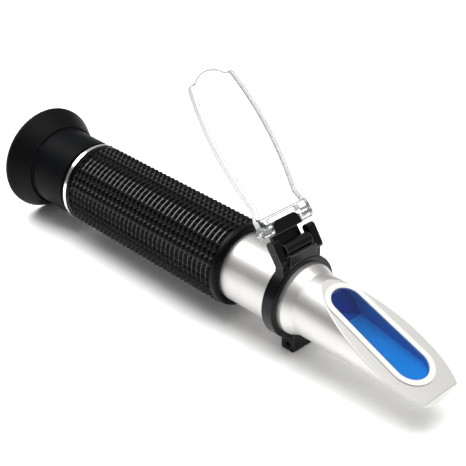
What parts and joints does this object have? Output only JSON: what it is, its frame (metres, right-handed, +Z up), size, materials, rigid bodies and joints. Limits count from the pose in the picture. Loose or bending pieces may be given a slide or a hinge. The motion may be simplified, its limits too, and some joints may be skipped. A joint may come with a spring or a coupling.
{
  "type": "portable refractometer",
  "caption": "Hand-held refractometer: slanted prism head, hinged clear daylight plate, knobbed grip, focus ring and flared eyecup.",
  "frame": {"origin": "under the middle of the object, on the surface that it lies on", "axes": "+X along the tube towards the prism's tip, +Z up, away from the surface"},
  "size_m": [0.1816, 0.0376, 0.0801],
  "materials": {
    "soft_rubber": "moulded satin black rubber",
    "grip_rubber": "moulded black rubber with square knobs",
    "black_plastic": "moulded black plastic, half gloss",
    "satin_aluminium": "satin silver, fine blasted",
    "bright_trim": "turned bright",
    "clear_plate": "clear moulded acrylic",
    "optical_glass": "polished",
    "white_seal": "white sealing compound",
    "blue_lining": "blue translucent film",
    "black_metal": "black anodised",
    "steel": "plain turned steel",
    "dark_steel": "blackened steel",
    "brass": "plain turned brass"
  },
  "bodies": {
    "tube": {"main_tube": "satin_aluminium", "trim_ring": "bright_trim", "grip_sleeve": "grip_rubber", "focus_guide_screw": "steel", "graticule_cell": "black_metal", "graticule": "optical_glass", "graticule_retainer": "black_metal", "cell_screws": "steel", "light_baffle": "black_metal", "pivot_pins": "steel", "leaf_spring": "steel", "spring_rivet": "steel", "calibration_bush": "brass", "prism_head": "satin_aluminium", "head_seal": "soft_rubber", "head_screws": "steel", "prism": "optical_glass", "prism_lining": "blue_lining", "prism_seal": "white_seal", "cover_ring": "black_plastic", "clamp_screw": "dark_steel", "clamp_nut": "steel", "hinge_pin": "steel"},
    "cover": {"cover_bracket": "black_plastic", "daylight_plate": "clear_plate", "plate_pins": "steel"},
    "focus": {"focus_ring": "black_plastic", "eyecup": "soft_rubber"},
    "eyepiece": {"lens_cell": "black_metal", "cell_clip": "steel", "eye_lens": "optical_glass", "lens_spacer": "black_metal", "field_lens": "optical_glass", "lens_retainer": "black_metal"},
    "objective": {"objective_rocker": "black_metal", "objective_lens": "optical_glass", "objective_retainer": "black_metal", "bimetal_strip": "brass", "bimetal_rivets": "steel"},
    "plunger": {"calibration_plunger": "brass"},
    "adjuster": {"calibration_screw": "steel"},
    "plug": {"calibration_cap": "soft_rubber"}
  },
  "joints": [
    {"name": "cover_hinge", "type": "hinge", "parent": "tube", "child": "cover", "pos_m": [0.03406, 0, 0.03566], "axis": [0, 1, 0], "range_deg": [-12, 152.73]},
    {"name": "focus_travel", "type": "slide", "parent": "tube", "child": "eyepiece", "axis": [-1, 0, 0], "range_m": [-0.0015, 0.003]},
    {"name": "focus_turn", "type": "hinge", "parent": "eyepiece", "child": "focus", "pos_m": [-0.09075, 0, 0.01883], "axis": [1, 0, 0], "range_deg": [-91, 181]},
    {"name": "plunger_travel", "type": "slide", "parent": "tube", "child": "plunger", "axis": [0, 0, 1], "range_m": [-0.000225, 0.000225]},
    {"name": "calibration_turn", "type": "hinge", "parent": "tube", "child": "adjuster", "pos_m": [0.02225, 0, 0.01883], "axis": [0, 0, 1], "range_deg": [-181, 181]},
    {"name": "objective_tilt", "type": "hinge", "parent": "tube", "child": "objective", "pos_m": [0.00925, 0, 0.01883], "axis": [0, -1, 0], "range_deg": [-1.01, 1.01]},
    {"name": "cap_pull", "type": "slide", "parent": "tube", "child": "plug", "axis": [0, 0, -1], "range_m": [0, 0.003]}
  ],
  "couplings": [
    {"joint": "focus_turn", "follows": "focus_travel", "rad_per_m": 1047.2},
    {"joint": "calibration_turn", "follows": "plunger_travel", "rad_per_m": 13963},
    {"joint": "objective_tilt", "follows": "plunger_travel", "rad_per_m": 76.923}
  ]
}
